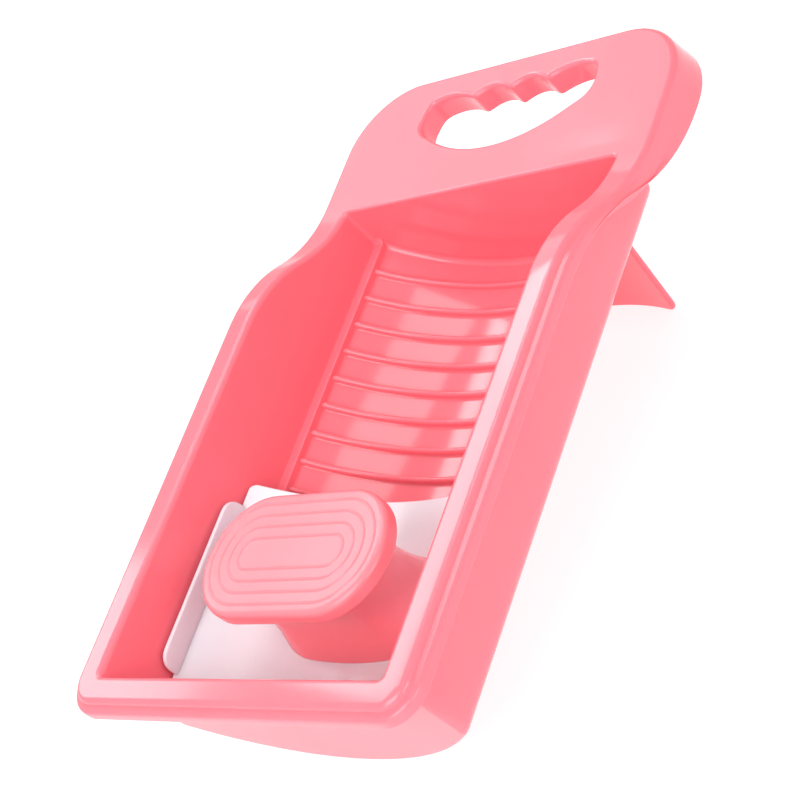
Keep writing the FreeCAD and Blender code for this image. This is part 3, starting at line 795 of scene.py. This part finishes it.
def make_stand():
    """Curved flap with its two knuckles, notched for the tray's ears, drawn folded out."""
    flap_r = math.hypot(FLAP_HALF, ARC_Z - HINGE_Z)
    out_y, out_z = LEAN_COS, -LEAN_SIN
    down_y, down_z = -LEAN_SIN, -LEAN_COS
    length = (hinge.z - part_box("stand_flap")[0][2]) * 1000

    def bow(x):
        """How far the curved flap stands off the hinge axis."""
        return math.sqrt(flap_r ** 2 - x * x) - (ARC_Z - HINGE_Z)

    def root(x):
        """Upper edge of the flap: clear of the tray's back, with a notch for each ear."""
        if NOTCH_IN < abs(x) < NOTCH_OUT:
            return NOTCH_DEPTH
        under = HINGE_Z - LEAN_SIN * bow(x) - ARC_Z + math.sqrt((BACK_R + 0.8) ** 2 - x * x)
        return max(under / LEAN_COS, -2.0)

    def place(x, u, t):
        """A point of the flap, u down from the hinge axis and t through its thickness."""
        tilt = x / flap_r
        w = bow(x) + t * math.sqrt(1 - tilt * tilt)
        return (x + t * tilt, HINGE_Y + u * down_y + w * out_y, HINGE_Z + u * down_z + w * out_z)

    points = []
    r = FLAP_CORNER
    for side, start in ((1, 0), (-1, 90)):
        for i in range(13):
            a = math.radians(start + 90 * i / 12)
            points.append((side * (FLAP_HALF - r) + r * math.cos(a), length - r + r * math.sin(a)))
        if side > 0:
            points += [(blend(FLAP_HALF - r, -FLAP_HALF + r, i / 40), length) for i in range(1, 40)]
    for i in range(185):
        x = blend(-FLAP_HALF, FLAP_HALF, i / 184)
        points.append((x, root(x)))
    for i in range(1, 12):
        points.append((FLAP_HALF, blend(root(FLAP_HALF), length - r, i / 12)))
    shell = Shell()
    plate(shell, even_loop(points, 0.9, 1), place, FLAP_THICK / 2, 1.15, 6.0)
    knuckle = [(HINGE_Y + KNUCKLE_R * math.cos(a), HINGE_Z + KNUCKLE_R * math.sin(a))
               for a in np.linspace(0, 2 * math.pi, 28, endpoint=False)]
    for x in (-FLAP_HALF, FLAP_HALF - KNUCKLE_LENGTH):
        bar(shell, knuckle, x, x + KNUCKLE_LENGTH, 0.3)
    make_piece("stand_leaf", shell, PINK, "stand", "stand_flap")


# ---- rubbing tool -------------------------------------------------------------------

def sole_z(x):
    """Height of the sole's upper face."""
    return arc_z(x, SOLE_R, SOLE_TOP + SOLE_R)


def runner(shell, x):
    """Upright strip that runs on one of the tray's ledges."""
    low, top, foot_r, top_r = LEDGE_Z + 0.3, RUNNER_TOP, 1.5, 6.0
    y0, y1 = TOOL_Y - RUNNER_HALF_Y, TOOL_Y + RUNNER_HALF_Y
    loop = []
    for cy, cz, r, start in ((y1 - foot_r, low + foot_r, foot_r, -90),
                             (y1 - top_r, top - top_r, top_r, 0),
                             (y0 + top_r, top - top_r, top_r, 90),
                             (y0 + foot_r, low + foot_r, foot_r, 180)):
        for i in range(11):
            a = math.radians(start + 9 * i)
            loop.append((cy + r * math.cos(a), cz + r * math.sin(a)))
    plate(shell, even_loop(loop, 1.5, 1), lambda y, z, t: (x + t, y, z),
          RUNNER_HALF_THICK, 0.7, 5.0)


def make_sole():
    """Milky curved sole with its side runners and rubbing blades."""
    shell = Shell()
    outline_loop = rounded_loop(SOLE_HALF_X, TOOL_Y - SOLE_HALF_Y, TOOL_Y + SOLE_HALF_Y,
                                3.0, 3.0, 3.0, 10)

    def web(x, y, t):
        tilt = x / SOLE_R
        return (x - t * tilt * 0.5, y, sole_z(x) - SOLE_HALF_THICK + t)

    plate(shell, outline_loop, web, SOLE_HALF_THICK, 0.8, 6.0)
    for side in (-1, 1):
        runner(shell, side * (SOLE_HALF_X - RUNNER_HALF_THICK))
    for k in range(BLADE_COUNT):
        blade(shell, TOOL_Y + (k - (BLADE_COUNT - 1) / 2) * RIB_PITCH)
    make_piece("clear_sole", shell, MILKY, "scrubber", "sole_plate")


# Sections of the post as (height, half length, half width), from its foot to the knob.
POST = ((-56.0, 43.0, 22.5), (-48.0, 41.0, 20.3), (-36.0, 37.0, 16.4), (-26.0, 35.6, 15.5),
        (KNOB_LOW, 38.6, 18.2))


def post_size(z):
    """Half length and half width of the post at a height, on a smooth curve."""
    z = min(max(z, POST[0][0]), POST[-1][0])
    k = max(i for i in range(len(POST) - 1) if z >= POST[i][0])
    a, b = POST[k], POST[k + 1]
    before, after = POST[max(k - 1, 0)], POST[min(k + 2, len(POST) - 1)]
    t = (z - a[0]) / (b[0] - a[0])
    result = []
    for c in (1, 2):
        m0 = (b[c] - before[c]) / (b[0] - before[0]) * (b[0] - a[0])
        m1 = (after[c] - a[c]) / (after[0] - a[0]) * (b[0] - a[0])
        result.append((2 * t ** 3 - 3 * t * t + 1) * a[c] + (t ** 3 - 2 * t * t + t) * m0
                      + (3 * t * t - 2 * t ** 3) * b[c] + (t ** 3 - t * t) * m1)
    return result


def make_post():
    """Flared oval post, standing on the curved sole."""
    shell = Shell()
    rows = []
    lift = 0.02
    foot = [sole_z(x) + lift for x, _, _, _ in stadium(41.0, 20.5)]
    for j in range(25):
        row = []
        for i, low in enumerate(foot):
            z = blend(low, POST[-1][0], j / 24)
            x, y, _, _ = stadium(*post_size(z))[i]
            row.append((x, y, z))
        rows.append(row)
    shell.grid(rows, closed=True)
    shell.sheet([p[:2] for p in rows[0]], [], lambda x, y: (x, y, sole_z(x) + lift), 8.0, flip=True)
    shell.sheet([p[:2] for p in rows[-1]], [], lambda x, y: (x, y, KNOB_LOW), 8.0)
    make_piece("grip_post", shell, GRIP, "scrubber", "grip_body", sharp=50.0)


def make_knob():
    """Oval knob top: soft edges and four raised oval beads round a flat middle."""
    low, top, low_r, top_r = KNOB_LOW, KNOB_TOP, 2.4, 2.6
    profile = [(12.0, low), (low_r, low)]
    for i in range(1, 8):
        a = math.radians(90 * i / 7)
        profile.append((low_r - low_r * math.sin(a), low + low_r * (1 - math.cos(a))))
    for i in range(9):
        a = math.radians(90 * i / 8)
        profile.append((top_r * (1 - math.cos(a)), top - top_r + top_r * math.sin(a)))
    for k in range(1, KNOB_BEADS + 1):
        for i in range(11):
            s = -1 + 2 * i / 10
            profile.append((KNOB_BEAD_PITCH * k + 0.7 * s,
                            top + 0.36 * math.cos(s * math.pi / 2) ** 2))
    profile.append((KNOB_HALF_WIDTH - 3.2, top))
    shell = Shell()
    rows = []
    for inset, z in profile:
        oval = stadium(KNOB_HALF_LENGTH - inset, KNOB_HALF_WIDTH - inset, 28)
        rows.append([(x, y, z) for x, y, _, _ in oval])
    shell.grid(rows, closed=True)
    shell.cap(rows[0], flip=True)
    shell.cap(rows[-1])
    make_piece("grip_knob", shell, GRIP, "scrubber", "grip_cap", sharp=60.0)


make_tray()
make_stand()
make_sole()
make_post()
make_knob()
for node in ("stand_pin_left", "stand_pin_right", "sole_screws"):
    for slot_item in frame["nodes"][node].material_slots:
        slot_item.material = STEEL

# ---- floor, light and camera --------------------------------------------------------

def make_floor():
    """A wide sheet of white paper that glows a little, as in an overexposed studio."""
    mesh = bpy.data.meshes.new("studio_floor")
    size, n = 6.0, 12
    side = [size * (i / n - 0.5) for i in range(n + 1)]
    points = [(x, y, 0.0) for y in side for x in side]
    corners = [j * (n + 1) + i for j in range(n) for i in range(n)]
    faces = [(c, c + 1, c + n + 2, c + n + 1) for c in corners]
    mesh.from_pydata(points, [], faces)
    material, nodes, links, shader = new_material("studio_paper")
    fibres = noise(nodes, links, 4.0, 2.0)
    links.new(ramp(nodes, links, fibres, (0.34, 0.34, 0.34, 1), (0.36, 0.36, 0.36, 1)),
              shader.inputs["Base Color"])
    shader.inputs["Roughness"].default_value = 0.9
    shader.inputs["Emission Color"].default_value = (1.0, 1.0, 1.0, 1)
    shader.inputs["Emission Strength"].default_value = 0.8
    mesh.materials.append(material)
    floor = bpy.data.objects.new("studio_floor", mesh)
    bpy.context.scene.collection.objects.link(floor)


def soft_light(name, place, target, size, power):
    """A rectangular softbox at a place, turned to a target, with its power in watts."""
    data = bpy.data.lights.new(name, "AREA")
    data.shape = "RECTANGLE"
    data.size, data.size_y = size
    data.energy = power
    light = bpy.data.objects.new(name, data)
    light.location = place
    light.rotation_euler = (Vector(target) - Vector(place)).to_track_quat("-Z", "Y").to_euler()
    bpy.context.scene.collection.objects.link(light)


def make_camera():
    """The view in the board's frame: its right, up and backward directions, then its place."""
    right = Vector((0.70453, 0.32100, -0.63292))
    up = Vector((0.08490, 0.84732, 0.52425))
    back = Vector((0.70458, -0.42308, 0.56971))
    place = Vector((557.9, -193.5, 424.1))
    data = bpy.data.cameras.new("photo_view")
    data.sensor_width = 36.0
    data.lens = 95.8
    data.clip_start = 0.01
    camera = bpy.data.objects.new("photo_view", data)
    lean = Matrix.Rotation(LEAN, 3, "X")
    turn = Matrix((lean @ right, lean @ up, lean @ back)).transposed()
    camera.matrix_world = Matrix.Translation(BOARD @ place) @ turn.to_4x4()
    bpy.context.scene.collection.objects.link(camera)
    bpy.context.scene.camera = camera


make_floor()
make_camera()
world = bpy.data.worlds.new("studio")
world.use_nodes = True
world.node_tree.nodes["Background"].inputs["Color"].default_value = (1.0, 0.985, 0.98, 1)
world.node_tree.nodes["Background"].inputs["Strength"].default_value = 0.64
bpy.context.scene.world = world

# The sheens and the overhead box are there for their reflections on the rim, the handle,
# the front and the ribbed floor.
soft_light("key", (0.2, -1.1, 1.2), (0, 0, 0.05), (1.0, 1.0), 15.0)
soft_light("front_low", (0.1, -1.3, 0.35), (0, 0, 0.05), (0.8, 0.4), 1.6)
soft_light("overhead", (-0.16, 0.31, 0.97), (0, 0.05, 0.03), (0.36, 0.50), 1.9)
soft_light("rim_sheen", (-0.60, 0.28, 0.75), (0, 0, 0.05), (0.5, 0.13), 1.2)
soft_light("handle_sheen", (-0.64, 0.62, 0.70), (0, 0.1, 0.05), (0.45, 0.45), 0.8)
soft_light("front_sheen", (-0.89, 0.0, 0.63), (0, -0.05, 0.05), (0.28, 0.2), 0.8)
soft_light("right_fill", (1.3, -0.3, 0.5), (0, 0, 0.05), (0.8, 0.6), 5.5)
bpy.context.scene.view_settings.view_transform = "Standard"
